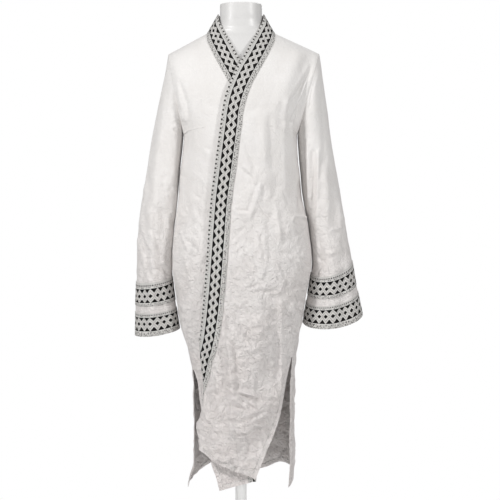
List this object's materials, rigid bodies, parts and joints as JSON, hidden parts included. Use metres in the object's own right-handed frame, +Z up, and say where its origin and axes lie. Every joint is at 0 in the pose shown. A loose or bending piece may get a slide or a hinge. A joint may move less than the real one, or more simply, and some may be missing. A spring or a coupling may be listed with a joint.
{
  "type": "kaftan on a limbless dress form",
  "caption": "Long open-front off-white linen kaftan with woven black and cream trim on neck, front edges and cuffs, lapped left over right, with side slits, on a limbless dress form.",
  "frame": {"origin": "centre of the stand's round base, on the floor", "axes": "+Z up, the front of the garment faces -Y, the wearer's left is at +X"},
  "size_m": [0.5734, 0.34, 1.48],
  "materials": {
    "linen": "matt, softly crumpled plain weave",
    "trim": "matt woven braid, black ground with cream lattice and grey borders",
    "form": "glossy white shell",
    "stand": "satin white paint"
  },
  "bodies": {
    "root": {"front_left": "linen", "front_right": "linen", "back": "linen", "neckband": "linen", "sleeve_left": "linen", "sleeve_right": "linen", "trim_front_left": "trim", "trim_front_right": "trim", "trim_neck": "trim", "trim_cuff_left_upper": "trim", "trim_cuff_left_lower": "trim", "trim_cuff_right_upper": "trim", "trim_cuff_right_lower": "trim", "form": "form", "pole": "stand", "base": "stand"}
  },
  "joints": []
}
